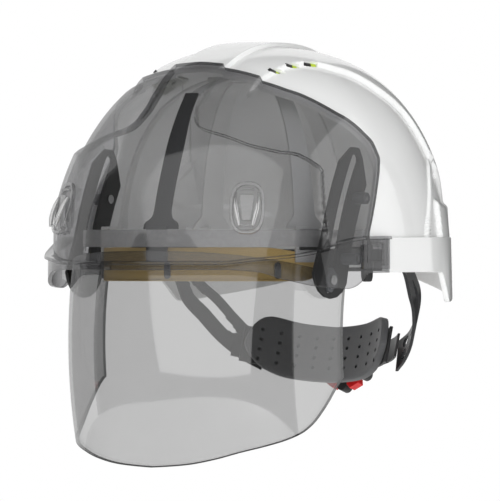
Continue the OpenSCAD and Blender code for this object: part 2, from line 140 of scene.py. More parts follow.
def narrowing(w):
    """Share of the dome's length and height that is left at w."""
    return np.abs(cos(w)) ** (2 / PLAN_N)


def dome_x(w):
    """Place across the hat of the dome's angle w."""
    return HALF_W * spow(sin(w), 2 / PLAN_N)


def dome_w(x):
    """Angle w of the dome at x across the hat."""
    return np.degrees(np.arcsin(np.clip(np.abs(x) / HALF_W, 0, 1) ** (PLAN_N / 2))) * np.sign(x)


def plan(p, o):
    """Point of the rim's outline grown by o, at angle p from the front."""
    side = (p + 180) % 360 - 180
    a = np.where(np.abs(side) < 90, FRONT_L, REAR_L) + o
    return (HALF_W + o) * spow(sin(side), 2 / PLAN_N), MID_Y - a * spow(cos(side), 2 / PLAN_N)


def head(p, o):
    """Egg-shaped outline of the headband."""
    return (HEAD_W + o) * sin(p), HEAD_Y - (HEAD_L + o) * cos(p)


def on_arc(x, a, r):
    """Point on the shield's slide arc."""
    return stack(x, SLIDE_Y - r * cos(a), SLIDE_Z + r * sin(a))


def at_nape(q):
    """Moves points drawn about the nape pad's back, with Y outward, to their place."""
    y, z = q[..., 1], q[..., 2]
    return stack(q[..., 0] + NAPE[0], NAPE[1] + y * cos(NAPE_TILT) + z * sin(NAPE_TILT),
                 NAPE[2] - y * sin(NAPE_TILT) + z * cos(NAPE_TILT))


# Tables for curve(): v to |x| in RIDGE, |x| to v in CAP_EDGE and FACE_LINE, z to |x| in FACE_SIDE, z to y
# in FLANK_CREASE, height to lift in FACE_HEIGHT, and the angle from the front to z in the others.
RIDGE = [[0, 43], [62, 44], [69, 45.5], [76, 48.5], [82, 52.5], [90, 61], [102, 75], [114, 82], [124, 88],
         [132, 91], [180, 94]]
CAP_EDGE = [[0, 63.5], [43, 62], [57.4, 62.8], [66, 64.4], [74.5, 66.3], [82, 68.9], [88.3, 72.8],
            [93.4, 76.1], [97.3, 78.9], [100, 78.9], [102.3, 75], [105, 64], [106.6, 49], [107.3, 33],
            [110, 24]]
FACE_LINE = [[0, 90], [16.5, 90], [18, 46], [24.5, 40.3], [31, 39.3], [44, 38.6], [58, 38], [72, 39.4],
             [82, 42.3], [90, 43]]
FACE_SIDE = [[25, 98], [49, 94], [70, 89.5]]
LIP = [[0, 11], [25, 11], [36, 13], [48, 14.8], [58, 17.6], [64, 20.6], [69, 24], [75, 26], [90, 26.5]]
CAP_LOW = [[0, 6.2], [25, 6.5], [36, 5.5], [48, 0], [61, -4.3], [69, -5], [71.5, -4], [74.7, 0], [77, 4.6],
           [90, 4.9]]
SKIRT = [[0, 4.9], [106, 4.9], [111, -4], [116.5, -13.6], [129.7, -10.5], [148, -5], [160, 0], [168, 4.9],
         [180, 4.9]]
SHIELD_EDGE = [[0, -113.8], [12, -112], [24, -108.6], [36, -104.2], [48, -100.4], [58, -96.8], [66, -92.8],
               [70, -89.8], [74, -85.8], [79, -79.2], [83, -73], [86, -67.5], [90, -60]]
FLANK_CREASE = [[20, 20.5], [28.4, 20], [48.4, 17.5], [65.4, 10.5], [79, -1.6]]
FACE_HEIGHT = [[18, 0], [50, 2.8], [66, 3.6], [90, 3.6], [125, 5.5]]
# Middle line of a side rib, as (y, z) points.
RIB = [(35, 22), (37.5, 32), (50.7, 60.5), (61, 75)]
STRIP_W, STRIP_H, PANEL_H, RIB_H = 16.9, 2.7, 2.8, 1.2
QUARTER_H, QUARTER_TOP, FLANK_SLOPE = 2.5, 51, 0.036


def strip(x):
    """Height of the raised strip over the crown."""
    return STRIP_H * (1 - soft(STRIP_W, STRIP_W + 1, np.abs(x)))


def panel(x, v):
    """Height of the crown between the two side ridges."""
    edge = curve(v, RIDGE)
    return PANEL_H * (1 - soft(edge - 1.5, edge + 0.3, np.abs(x)))


def side_rib(x, y, z):
    """Height of the rib on each side, which fades out towards the crown."""
    gap = distance(y, z, RIB)
    return RIB_H * (1 - soft(2.2, 3.0, gap)) * soft(84, 90, np.abs(x)) * (1 - soft(70, 80, z))


def rear_quarter(x, y, z):
    """Height of the raised field on each side at the rear, whose top edge steps down towards the back."""
    power = PLAN_N / 2
    behind = np.degrees(np.arctan2((np.abs(x) / HALF_W) ** power,
                                   spow(np.clip((MID_Y - y) / REAR_L, -1, 1), power)))
    top = QUARTER_TOP - 2.5 * soft(111, 116, behind) - 5 * soft(140, 152, behind)
    field = soft(109.6, 111, behind) * (1 - soft(150, 153, behind)) * (1 - soft(top - 5, top, z))
    return QUARTER_H * field


def flank(x, y, z):
    """Height of the slope that climbs forward from each flank's crease."""
    ahead = curve(z, FLANK_CREASE) - y
    return FLANK_SLOPE * np.clip(ahead, 0, 11) * (1 - soft(70, 80, z)) * soft(90, 97, np.abs(x))


def shell_lift(x, v, q):
    """Height of the shell's relief over the dome at base points q."""
    crown = (1 - soft(140, 165, v)) * soft(50, 60, v) * (strip(x) + panel(x, v))
    place = (x, q[..., 1], q[..., 2])
    return crown + side_rib(*place) + rear_quarter(*place) + flank(*place)


def cap_lift(x, v, q):
    """Height of the cap over the dome: its raised face, and the shell's strip and ridges."""
    edge, side = curve(np.abs(x), FACE_LINE), curve(q[..., 2], FACE_SIDE)
    face = curve(DOME_H * sin(v), FACE_HEIGHT)
    face = face * (1 - soft(edge, edge + 0.7, v)) * (1 - soft(side, side + 1.5, np.abs(x)))
    return SHELL_T + np.maximum(face, soft(44, 56, v) * (strip(x) + panel(x, v) * soft(52, 60, v)))


# ---- meshes ----
SHARP = 38


def plate(outer, inner, hole=None, marked=None):
    """Closed solid between two grids of points, open where hole says so.

    Its edges have material 1, and the faces that marked picks have material 2.
    """
    rows, cols = outer.shape[:2]
    n = rows * cols
    at = np.arange(n).reshape(rows, cols)
    here = np.ones((rows - 1, cols - 1), bool) if hole is None else ~hole
    a, b, c, d = at[:-1, :-1], at[:-1, 1:], at[1:, 1:], at[1:, :-1]
    top = np.stack([a, b, c, d], -1)[here]
    faces = [top, top[:, ::-1] + n]
    ring = np.zeros((rows + 1, cols + 1), bool)
    ring[1:-1, 1:-1] = here
    for near, p, q in ((ring[:-2, 1:-1], a, b), (ring[2:, 1:-1], c, d), (ring[1:-1, 2:], b, c),
                       (ring[1:-1, :-2], d, a)):
        open_side = here & ~near
        p, q = p[open_side], q[open_side]
        faces.append(np.stack([q, p, p + n, q + n], -1))
    ids = np.concatenate([np.full(len(f), int(k > 1)) for k, f in enumerate(faces)])
    if marked is not None:
        ids[:2 * len(top)] = np.tile(2 * marked[here], 2)
    return np.concatenate([outer.reshape(-1, 3), inner.reshape(-1, 3)]), np.concatenate(faces).tolist(), ids


def sweep(rings):
    """Closed tube through rings of points, with flat ends."""
    n, k = rings.shape[:2]
    i, j = np.arange(n - 1)[:, None] * k, np.arange(k)
    nxt = (j + 1) % k
    sides = stack(i + j, i + nxt, i + k + nxt, i + k + j).reshape(-1, 4).tolist()
    ends = [list(range(k)), list(range((n - 1) * k, n * k))]
    return rings.reshape(-1, 3), sides + ends, np.zeros(len(sides) + 2, int)


def rounded(corners, r, n):
    """Rounds every corner of closed outlines in a plane by n steps, starting r from the corner."""
    def toward(other):
        d = other - corners
        length = np.maximum(np.linalg.norm(d, axis=-1, keepdims=True), 1e-9)
        return corners + d / length * np.minimum(r, length * 0.45)
    a, b = toward(np.roll(corners, 1, -2))[..., None, :], toward(np.roll(corners, -1, -2))[..., None, :]
    t = np.linspace(0, 1, n + 1)[:, None]
    points = (1 - t) ** 2 * a + 2 * t * (1 - t) * corners[..., None, :] + t * t * b
    return points.reshape(corners.shape[:-2] + (-1, 2))


def build(name, parts, materials, body="helmet", sharp=SHARP):
    """One object from several closed solids; material numbers past the last material take that one."""
    points, faces, ids, start = [], [], [], 0
    for p, f, k in parts:
        points.append(p)
        faces += [[start + i for i in face] for face in f]
        ids.append(k)
        start += len(p)
    mesh = bpy.data.meshes.new(name)
    mesh.from_pydata((np.concatenate(points) * MM).tolist(), [], faces)
    for material in materials:
        mesh.materials.append(material)
    index = np.minimum(np.concatenate(ids), len(materials) - 1)
    mesh.polygons.foreach_set("material_index", index.astype(np.int32))
    work = bmesh.new()
    work.from_mesh(mesh)
    loose = [v for v in work.verts if not v.link_faces]
    bmesh.ops.delete(work, geom=loose, context="VERTS")
    bmesh.ops.remove_doubles(work, verts=work.verts, dist=1e-6)
    bmesh.ops.recalc_face_normals(work, faces=work.faces)
    work.to_mesh(mesh)
    work.free()
    mesh.shade_smooth()
    mesh.set_sharp_from_angle(angle=math.radians(sharp))
    piece = bpy.data.objects.new(name, mesh)
    bpy.context.scene.collection.objects.link(piece)
    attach(piece, body)
    return piece


def freeze(piece):
    """Applies a piece's modifiers."""
    evaluated = piece.evaluated_get(bpy.context.evaluated_depsgraph_get())
    mesh = bpy.data.meshes.new_from_object(evaluated)
    piece.modifiers.clear()
    old = piece.data
    piece.data = mesh
    bpy.data.meshes.remove(old)
    mesh.shade_smooth()
    mesh.set_sharp_from_angle(angle=math.radians(SHARP))


def bevel(piece, width, angle=35):
    """Rounds a piece's sharp edges; width is in millimetres."""
    mod = piece.modifiers.new("round", "BEVEL")
    mod.width = width * MM
    mod.segments = 2
    mod.limit_method = "ANGLE"
    mod.angle_limit = math.radians(angle)


# ---- materials ----
class Paint:
    """Builds one node material."""

    def __init__(self, name):
        self.material = bpy.data.materials.new(name)
        self.material.use_nodes = True
        self.tree = self.material.node_tree
        self.tree.nodes.clear()
        self.output = self.node("ShaderNodeOutputMaterial")
        self.place = self.node("ShaderNodeTexCoord").outputs["Object"]

    def node(self, kind, settings=None, **inputs):
        """Adds a node; inputs are sockets or values, under the input's name or as i0, i1 and so on."""
        n = self.tree.nodes.new(kind)
        for key, value in (settings or {}).items():
            setattr(n, key, value)
        for key, value in inputs.items():
            numbered = key[0] == "i" and key[1:].isdigit()
            socket = n.inputs[int(key[1:]) if numbered else key.replace("_", " ")]
            if isinstance(value, bpy.types.NodeSocket):
                self.tree.links.new(value, socket)
            else:
                socket.default_value = value
        return n

    def noise(self, size, detail, rough=0.55):
        """Noise whose blotches are size millimetres across."""
        return self.node("ShaderNodeTexNoise", Vector=self.place, Scale=1 / (size * MM), Detail=detail,
                         Roughness=rough).outputs["Fac"]

    def math(self, operation, a, b):
        return self.node("ShaderNodeMath", {"operation": operation}, i0=a, i1=b).outputs[0]

    def spread(self, value, lo, hi):
        return self.node("ShaderNodeMapRange", Value=value, To_Min=lo, To_Max=hi).outputs[0]

    def mix_colour(self, fac, a, b):
        n = self.tree.nodes.new("ShaderNodeMix")
        n.data_type = "RGBA"
        for socket, value in ((n.inputs[0], fac), (n.inputs[6], a), (n.inputs[7], b)):
            if isinstance(value, bpy.types.NodeSocket):
                self.tree.links.new(value, socket)
            else:
                socket.default_value = value
        return n.outputs[2]

    def bump(self, height, depth):
        """Bump of a depth in millimetres."""
        return self.node("ShaderNodeBump", Height=height, Strength=1.0, Distance=depth * MM).outputs[0]

    def finish(self, shader):
        self.tree.links.new(shader, self.output.inputs["Surface"])
        return self.material


def grey(value):
    return (value, value, value, 1.0)


def colour(r, g, b):
    return (r, g, b, 1.0)


def moulded(name, base, rough, grain, depth, coat=0.0, sheen=0.0, vary=0.06):
    """Moulded plastic or rubber: slow changes of tone, uneven gloss, and a fine grain, in millimetres."""
    m = Paint(name)
    slow = m.noise(38, 2)
    fine = m.noise(grain, 4, 0.6)
    tone = m.mix_colour(m.spread(slow, 0.0, 1.0), tuple(c * (1 - vary) for c in base[:3]) + (1,),
                        tuple(min(1, c * (1 + vary)) for c in base[:3]) + (1,))
    gloss = m.math("ADD", m.spread(slow, rough - 0.03, rough + 0.03), m.spread(fine, -0.04, 0.04))
    shader = m.node("ShaderNodeBsdfPrincipled", Base_Color=tone, Roughness=gloss, Coat_Weight=coat,
                    Coat_Roughness=0.06, Sheen_Weight=sheen, Normal=m.bump(fine, depth))
    return m.finish(shader.outputs[0])


def facing(m, low, high, power=4.0):
    """Share of light a clear wall mirrors, more at a slant."""
    slant = m.node("ShaderNodeLayerWeight", Blend=0.5).outputs["Facing"]
    return m.math("ADD", m.math("MULTIPLY", m.math("POWER", slant, power), high - low), low)


def clear(name, tint, haze, haze_tone, gloss=0.05, low=0.05, high=0.7, deep=0.4):
    """Clear plastic wall.

    A face lets tint through, and deep times that at a slant. A share haze of it is milky, in haze_tone. It
    mirrors a share low of the light face on and high at a slant, with roughness gloss.
    """
    m = Paint(name)
    marks = 0.35
    slow, fine = m.noise(30, 2), m.noise(2.2, 5, 0.7)
    flat = m.mix_colour(slow, tuple(c * 0.985 for c in tint) + (1,), tuple(tint) + (1,))
    slanted = m.mix_colour(facing(m, 0.0, 1.0, 3.0), flat, tuple(c * deep for c in tint) + (1,))
    through = m.node("ShaderNodeBsdfTransparent", Color=slanted)
    milk = m.node("ShaderNodeBsdfDiffuse", Color=haze_tone)
    body = m.node("ShaderNodeMixShader", i0=m.math("MULTIPLY", m.spread(fine, 1 - marks, 1 + marks), haze),
                  i1=through.outputs[0], i2=milk.outputs[0])
    rough = m.spread(slow, gloss * 0.7, gloss * 1.3)
    mirror = m.node("ShaderNodeBsdfGlossy", Color=grey(1), Roughness=rough)
    whole = m.node("ShaderNodeMixShader", i0=facing(m, low, high), i1=body.outputs[0], i2=mirror.outputs[0])
    return m.finish(whole.outputs[0])


def felt(name, base, dark):
    """Short felted fibres over a soft backing."""
    m = Paint(name)
    fibres = m.node("ShaderNodeTexNoise", Vector=m.node("ShaderNodeMapping", Vector=m.place,
                                                        Scale=(1.0, 1.0, 2.2)).outputs[0],
                    Scale=1300, Detail=6, Roughness=0.72, Distortion=1.2).outputs["Fac"]
    patches = m.noise(9, 3)
    mixed = m.math("ADD", fibres, m.math("MULTIPLY", patches, 0.35))
    tone = m.mix_colour(m.spread(mixed, -0.35, 1.15), dark, base)
    shader = m.node("ShaderNodeBsdfPrincipled", Base_Color=tone, Roughness=m.spread(fibres, 0.8, 0.98),
                    Sheen_Weight=0.35, Sheen_Roughness=0.5, Normal=m.bump(fibres, 0.35))
    return m.finish(shader.outputs[0])


def metal(name, base, rough):
    """Plated steel with fine turning marks."""
    m = Paint(name)
    rings = m.node("ShaderNodeTexWave", {"wave_type": "RINGS", "rings_direction": "X"}, Vector=m.place,
                   Scale=900, Distortion=3, Detail=2).outputs["Fac"]
    uneven = m.spread(m.noise(1.5, 3), rough - 0.08, rough + 0.08)
    shader = m.node("ShaderNodeBsdfPrincipled", Base_Color=base, Metallic=1.0, Roughness=uneven,
                    Normal=m.bump(rings, 0.01))
    return m.finish(shader.outputs[0])


WHITE = moulded("white_shell", colour(0.87, 0.875, 0.87), 0.2, 1.1, 0.006, coat=0.6, vary=0.012)
LIME = moulded("lime_plastic", colour(0.5, 0.66, 0.02), 0.38, 0.7, 0.01)
PALE = moulded("pale_insert", colour(0.6, 0.61, 0.58), 0.5, 0.7, 0.01)
BLACK = moulded("black_plastic", colour(0.012, 0.012, 0.0125), 0.36, 0.5, 0.015)
STRAPS = moulded("light_harness", colour(0.72, 0.725, 0.72), 0.5, 0.6, 0.012)
HARNESS = moulded("dark_harness", colour(0.06, 0.061, 0.064), 0.34, 0.6, 0.012)
HARNESS_ARM = moulded("dark_harness_arm", colour(0.022, 0.0225, 0.024), 0.34, 0.6, 0.012)
FOAM = moulded("nape_foam", colour(0.075, 0.076, 0.079), 0.62, 0.45, 0.05, sheen=0.25, vary=0.1)
GREY = moulded("grey_plastic", colour(0.09, 0.093, 0.1), 0.4, 0.6, 0.012)
RED = moulded("red_plastic", colour(0.62, 0.012, 0.014), 0.32, 0.6, 0.01, coat=0.3)
RUBBER = moulded("black_rubber", colour(0.011, 0.011, 0.011), 0.55, 0.4, 0.04, sheen=0.15)
TAN = felt("tan_band", colour(0.93, 0.66, 0.23), colour(0.68, 0.46, 0.15))
STEEL = metal("screw_steel", grey(0.6), 0.25)
SMOKE = clear("smoke_cap", (0.76, 0.76, 0.765), 0.012, grey(0.4), low=0.06, high=0.5, deep=0.3)
SMOKE_RIM = clear("smoke_cap_brim", (0.76, 0.76, 0.765), 0.01, grey(0.4), low=0.05, high=0.7, deep=0.2)
# Darker tints for the cap's edges and steps, with more gloss on the steps: painted shade that draws the dark
# lines clear plastic shows there.
SMOKE_EDGE_SHADE = clear("smoke_cap_edge_painted_shade", (0.18, 0.18, 0.185), 0.05, grey(0.3), low=0.08, high=0.6)
SMOKE_STEP_SHADE = clear("smoke_cap_step_painted_shade", (0.7, 0.7, 0.705), 0.02, grey(0.5), low=0.12, high=0.8, deep=0.08)
SHIELD = clear("clear_shield", (0.74, 0.74, 0.74), 0.003, grey(0.6), low=0.12, high=0.5, deep=0.7)
# Darker tints for the visor's edges and, nearly black, for a thin line along its foot: painted shade.
SHIELD_RIM_SHADE = clear("clear_shield_edge_painted_shade", (0.3, 0.305, 0.305), 0.05, grey(0.4), low=0.1, high=0.6)
SHIELD_FOOT_SHADE = clear("clear_shield_foot_painted_shade", (0.02, 0.02, 0.02), 0.1, grey(0.1), low=0.1, high=0.5)
CLIP = clear("clear_clip", (0.88, 0.88, 0.88), 0.03, grey(0.8), gloss=0.1, low=0.14, high=0.6, deep=0.12)
# Milky, strongly mirroring strips down each clip: painted highlight.
CLIP_HIGHLIGHT = clear("clear_clip_highlight_streak", (0.8, 0.8, 0.8), 0.3, grey(0.9), gloss=0.14, low=0.55, high=0.95,
                   deep=0.1)
FROST = clear("frosted_bar", (0.9, 0.9, 0.9), 0.3, grey(0.95), gloss=0.2, low=0.03, high=0.3)


# ---- outer shell ----
def columns(x_end, w_end):
    """Angles across the dome, closer together at the strip's steps."""
    x = np.concatenate([np.arange(0, 15, 1.0), np.arange(15, 20, 0.3), np.arange(20, x_end, 0.9)])
    w = np.concatenate([dome_w(x), np.arange(dome_w(np.array(x_end)), w_end, 0.7), [w_end]])
    return np.concatenate([-w[:0:-1], w])


def dome_grid(w, v, lift):
    """Points of the dome on a grid, raised by lift(x, v, base points)."""
    return dome(w, v, lift(dome_x(w) + 0 * v, v, dome(w, v, 0)))


def wall(p, outline, corners, r, n=3, lines=()):
    """Wall round an outline: corners are (offset, height) pairs, each a number or one value for each p.

    The rounding of the corners numbered in lines has material 1.
    """
    section = np.stack([stack(o + 0 * p, z + 0 * p) for o, z in corners], -2)
    section = rounded(section, r, n)
    x, y = outline(p[:, None], section[..., 0])
    points, faces, ids = sweep(stack(x, y, section[..., 1]))
    j = np.arange(len(ids) - 2) % section.shape[1]
    ids[:-2] = np.isin(j // (n + 1), lines) & (j % (n + 1) < n)
    return points, faces, ids


VENTS = [69.3, 75.8, 82.2]
VENT_W, VENT_L, VENT_LEAN = 2.7, 9.8, 57
TRAY_HALF, TRAY_LOW, TRAY_TOP = 1.2, -3.4, -1.05


def shell():
    """White shell with its vent slots cut; its front edge lies just under the cap's rear edge."""
    w = columns(x_end=100, w_end=83.2)[:, None]
    foot = np.minimum((BAND_TOP - 2) / (narrowing(w) * DOME_H), 1)
    under_cap = 1.5
    v0 = np.maximum(curve(np.abs(dome_x(w)), CAP_EDGE) - under_cap, np.degrees(np.arcsin(foot)))
    v1 = 180 - np.degrees(np.arcsin(foot ** (REAR_M / 2)))
    v = v0 + (v1 - v0) * np.linspace(0, 1, 236)
    outer = dome_grid(w, v, shell_lift)
    inner = dome_grid(w, v, lambda x, v, q: shell_lift(x, v, q) - SHELL_T)
    white = build("outer_shell", [plate(outer, inner)], [WHITE])
    cutters = build("vent_cutters", [vent_box(v_at, s) for v_at in VENTS for s in (-1, 1)], [WHITE])
    cut = white.modifiers.new("vents", "BOOLEAN")
    cut.object = cutters
    cut.operation = "DIFFERENCE"
    cut.solver = "MANIFOLD"
    freeze(white)
    bpy.data.objects.remove(cutters)
    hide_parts("main_shell")


def gutter():
    """Band round the rim with straight sides, dipping at the rear corners."""
    p = np.linspace(BAND_START, 360 - BAND_START, 240)
    near = np.where(p > 180, 360 - p, p)
    flat = HALF_W - np.abs(plan(p, 0)[0])
    flat = np.where(near < 100, flat, flat[np.argmin(np.abs(near - 100))] * (1 - soft(98, 122, near)))
    low = curve(near, SKIRT)
    section = [(0.2 + flat, low), (3.4 + flat, low), (2.5 + flat, BAND_TOP), (-0.8, BAND_TOP)]
    build("gutter_band", [wall(p, plan, section, 0.7)], [WHITE])


def vent_trays():
    """Black louvre and lime strip in each vent slot."""
    for name, material, slot, y0, y1 in (("vent_louvres", BLACK, "black_plastic", -4.5, 0.9),
                                         ("vent_strips", LIME, "lime_plastic", 0.9, 4.5)):
        x = [-TRAY_HALF, TRAY_HALF, TRAY_HALF, -TRAY_HALF]
        tray = sweep(stack(x, [y0, y0, y1, y1], [[TRAY_LOW], [TRAY_TOP]]))
        trays = [at_vent(tray, v_at, s) for v_at in VENTS for s in (-1, 1)]
        build(name, trays, [material])


def vent_box(v_at, s):
    """Rounded box that cuts one vent slot, flared outward."""
    corners = np.array([(-1, -1), (1, -1), (1, 1), (-1, 1)]) * (VENT_W / 2, VENT_L / 2)
    outline = rounded(corners, 0.6, 4)
    rings = np.stack([stack(outline[:, 0] * k, outline[:, 1] * k, np.full(len(outline), z))
                      for z, k in ((-5.5, 1.0), (-0.6, 1.0), (3.0, 1.15))])
    return at_vent(sweep(rings), v_at, s)


def at_vent(solid, v_at, s):
    """Moves a solid drawn about a vent slot's middle, with Z outward, to the ridge on the side of s."""
    q, faces, ids = solid
    lean, tip = VENT_LEAN, v_at - 90
    near, x, far = curve(v_at + np.array([-1.0, 0.0, 1.0]), RIDGE)
    ridge_length = 4.6
    yaw = math.degrees(math.atan((far - near) / ridge_length))
    centre = dome(dome_w(x - 0.6), np.array(float(v_at)), 1.5)
    x1 = q[:, 0] * cos(lean) + q[:, 2] * sin(lean)
    z1 = -q[:, 0] * sin(lean) + q[:, 2] * cos(lean)
    x2, y2 = x1 * cos(yaw) + q[:, 1] * sin(yaw), q[:, 1] * cos(yaw) - x1 * sin(yaw)
    y3, z3 = y2 * cos(tip) - z1 * sin(tip), y2 * sin(tip) + z1 * cos(tip)
    return stack(s * (centre[0] + x2), centre[1] + y3, centre[2] + z3), faces, ids


# ---- smoked cap ----
def cap():
    """Clear cap, with its steps in a darker, glossier tint of their own and its edges in a dark tint:
    painted shade that draws dark lines along them.
    """
    w = columns(x_end=100, w_end=77.6)[:, None]
    x = dome_x(w)
    v1 = curve(np.abs(x), CAP_EDGE)
    foot = (curve(np.abs(w), LIP) + 0.2) / (narrowing(w) * (DOME_H + 3))
    v0 = np.minimum(np.degrees(np.arcsin(np.minimum(foot, 1))), v1 - 1)
    v = v0 + (v1 - v0) * np.linspace(0, 1, 280)
    outer = dome_grid(w, v, cap_lift)
    inner = dome_grid(w, v, lambda x, v, q: cap_lift(x, v, q) - CAP_T)
    lift = cap_lift(x + 0 * v, v, dome(w, v, 0))
    across, along = (np.abs(np.diff(lift, axis=k)) / np.linalg.norm(np.diff(outer, axis=k), axis=-1) > 0.3
                     for k in (0, 1))
    # Steep faces, the steps that take the painted shade.
    steps = across[:, 1:] | along[1:]
    piece = build("smoked_cap", [plate(outer, inner, marked=steps)], [SMOKE, SMOKE_EDGE_SHADE, SMOKE_STEP_SHADE])
    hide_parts("front_cap")


def brim():
    """Cap's brim and lip, with the blocks and frames at its ends and the tab in front."""
    p = np.linspace(-CAP_END, CAP_END, 250)
    lip, low = curve(np.abs(p), LIP), curve(np.abs(p), CAP_LOW)
    # The rounding at the lip's corners 1 and 3 takes the dark edge tint: painted shade that draws two dark
    # lines along the lip.
    rim = wall(p, plan, [(3.6, low), (5.8, low), (5.8, lip - 1.4), (8.0, lip - 1.2), (7.6, lip + 0.7),
                         (1.6, lip + 0.9), (1.6, lip - 1.2), (3.6, lip - 1.4)], 0.35, 2, lines=(1, 3))
    ends = [wall(np.linspace(74.2, 83.7, 16) * s, plan, [(5.6, 7), (7.4, 7), (7.4, 25), (5.6, 25)], 0.4)
            for s in (-1, 1)]
    sides = ((75.6, 81.4, 22.2, 23.2), (75.6, 81.4, 11.0, 12.0), (75.6, 76.2, 12.0, 22.2),
             (80.8, 81.4, 12.0, 22.2))
    frames = [wall(np.linspace(a, b, 12) * s, plan, [(7.3, lo), (7.9, lo), (7.9, hi), (7.3, hi)], 0.2)
              for s in (-1, 1) for a, b, lo, hi in sides]
    tab = wall(np.linspace(-6.9, -5.1, 4), plan, [(5.7, 6.4), (6.9, 6.4), (7.9, 11.4), (5.7, 11.4)], 0.3)
    build("cap_brim", [rim], [SMOKE_RIM, SMOKE_EDGE_SHADE], sharp=30)
    build("cap_brim_ends", ends + frames + [tab], [SMOKE])


HOOK_X, HOOK_Y = 103.2, -22
# Height, half thickness and half length of the hook's rings.
HOOK_RINGS = [(-0.8, 1.0, 2.8), (-0.2, 1.6, 3.6), (2, 1.8, 4.2), (5, 1.8, 4.4), (21, 1.8, 4.4),
              (21.8, 1.4, 4.0)]


def cap_hook(side_name, s):
    """Hook that holds an end of the cap, down to its foot under the rim."""
    rings = []
    for z, a, b in HOOK_RINGS:
        corner = rounded(np.array([(-a, -b), (a, -b), (a, b), (-a, b)]), 1.0, 3)
        rings.append(stack(s * (HOOK_X + corner[:, 0]), corner[:, 1] + HOOK_Y, z))
    piece = build(f"cap_hook_{side_name}", [sweep(np.stack(rings))], [BLACK])
    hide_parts(f"cap_clip_{side_name}")


# ---- face shield ----
def shield():
    """Curved visor with a nearly black line along its foot and dark edges, both painted shade; its last
    columns are evenly spaced in depth.
    """
    rows, line_share = 110, 0.007
    ends = np.degrees(np.arccos(np.linspace(cos(67) ** SHIELD_POWER, 0, 40) ** (1 / SHIELD_POWER)))
    p = np.concatenate([np.linspace(0, 66, 74), ends])
    p = np.concatenate([-p[:0:-1], p])[:, None]
    f = np.append(0, np.linspace(line_share, 1, rows))

    def side(o):
        r = SLIDE_Y - SHIELD_BACK + (SHIELD_DEPTH + o) * np.abs(cos(p)) ** SHIELD_POWER
        low = np.degrees(np.arcsin((curve(np.abs(p), SHIELD_EDGE) - SLIDE_Z) / r))
        return on_arc((SHIELD_W + o) * spow(sin(p), SHIELD_POWER), low + (SHIELD_TOP - low) * f, r)
    # The first row, along the foot, takes the nearly black painted shade.
    foot = np.broadcast_to(np.arange(rows) < 1, (len(p) - 1, rows))
    piece = build("shield_visor", [plate(side(0), side(-SHIELD_T), marked=foot)],
                  [SHIELD, SHIELD_RIM_SHADE, SHIELD_FOOT_SHADE], body="shield")
    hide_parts("face_shield")


# ---- clips for a head lamp, on the cap's face ----
CLIP_X, CLIP_V, CLIP_OUT = 66.0, 19.9, 5.6
CLIP_LEAN, CLIP_TURN = -16, 30


def lamp_clips():
    """Both clips, each drawn about its own middle and then moved."""
    parts = []
    for s in (-1, 1):
        parts += [(place_clip(q, s), f, k) for q, f, k in clip_parts()]
    piece = build("head_lamp_clips", parts, [CLIP, CLIP_HIGHLIGHT])
    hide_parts("lamp_clips")


def place_clip(q, s):
    """Moves points drawn about a clip's middle, with -Y outward, to the cap's face on the side of s."""
    y1 = q[:, 1] * cos(CLIP_LEAN) - q[:, 2] * sin(CLIP_LEAN)
    z1 = q[:, 1] * sin(CLIP_LEAN) + q[:, 2] * cos(CLIP_LEAN)
    x2 = q[:, 0] * cos(CLIP_TURN) - y1 * sin(CLIP_TURN)
    y2 = q[:, 0] * sin(CLIP_TURN) + y1 * cos(CLIP_TURN)
    at = dome(dome_w(np.array(CLIP_X)), np.array(CLIP_V), CLIP_OUT)
    return stack(s * (at[0] + x2), at[1] + y2, at[2] + z1)


def oval(half_w, half_h):
    """Outline between an ellipse and a rounded rectangle."""
    power = 2.8
    t = np.linspace(0, 360, 64, endpoint=False)
    return half_w * spow(cos(t), 2 / power), half_h * spow(sin(t), 2 / power)


def ring_part(outer, inner, back, front):
    """Flat oval ring between two outlines, from back to front along -Y."""
    rings = [stack(o[0], np.full(len(o[0]), -y), o[1]) for o, y in
             ((inner, back), (outer, back), (outer, front - 0.4), (mid_outline(outer, inner, 0.2), front),
              (mid_outline(outer, inner, 0.8), front), (inner, front - 0.4))]
    return closed_ring(np.array(rings))


def closed_ring(rings):
    """Closed ring through outlines, the last of which joins the first."""
    n, k = rings.shape[:2]
    faces = [[i * k + j, i * k + (j + 1) % k, (i + 1) % n * k + (j + 1) % k, (i + 1) % n * k + j]
             for i in range(n) for j in range(k)]
    return rings.reshape(-1, 3), faces, np.zeros(len(faces), int)


def mid_outline(a, b, t):
    """Outline at share t of the way from a to b."""
    return a[0] + (b[0] - a[0]) * t, a[1] + (b[1] - a[1]) * t


def rod(path, r):
    """Round rod of one radius through points, with flat ends."""
    path = np.array(path, float)
    step = np.gradient(path, axis=0)
    step /= np.linalg.norm(step, axis=1, keepdims=True)
    side = np.cross(step, [0.0, 1.0, 0.0])
    side /= np.linalg.norm(side, axis=1, keepdims=True)
    up = np.cross(side, step)
    t = np.linspace(0, 360, 10, endpoint=False)
    rings = path[:, None] + r * (side[:, None] * cos(t)[:, None] + up[:, None] * sin(t)[:, None])
    return sweep(rings)


def smooth_path(points, n):
    """Points on a smooth curve through the given ones."""
    points = np.array(points, float)
    t = np.linspace(0, len(points) - 1, n)
    table = np.arange(len(points))
    return np.stack([curve(t, np.stack([table, points[:, k]], -1)) for k in range(3)], -1)


HALF_LOOP = [(6.8, -0.8, 9.5), (7.2, -2.2, 4), (6.4, -3.6, -3), (4.6, -4.2, -9), (3.4, -4.0, -11.6)]
# Path of the streak of painted highlight down one side of a clip.
HIGHLIGHT_STREAK = [(6.9, -2.4, 6.5), (6.6, -3.6, 0), (5.2, -4.4, -7), (3.9, -4.2, -12.5)]


